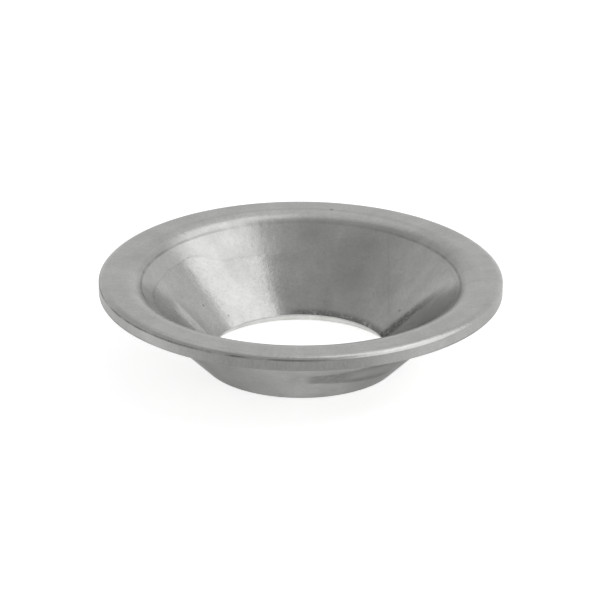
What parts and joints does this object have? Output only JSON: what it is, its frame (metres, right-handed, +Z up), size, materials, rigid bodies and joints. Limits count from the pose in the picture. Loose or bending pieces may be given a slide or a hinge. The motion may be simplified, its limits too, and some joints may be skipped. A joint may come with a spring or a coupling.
{
  "type": "finishing cup washer",
  "caption": "Pressed sheet-metal finishing cup washer: a flat flange with a rolled edge bends down into a cone that seats a countersunk screw head, with a hole at its foot.",
  "frame": {"origin": "on the axis of the hole, at the bottom of the foot that the cup stands on", "axes": "+Z up along the axis, from the foot to the flange's top; X and Y are any two directions across it, with -Y towards the camera of the picture"},
  "size_m": [0.018, 0.018, 0.004],
  "materials": {
    "steel": "satin"
  },
  "bodies": {
    "root": {"cup_washer": "steel"}
  },
  "joints": []
}
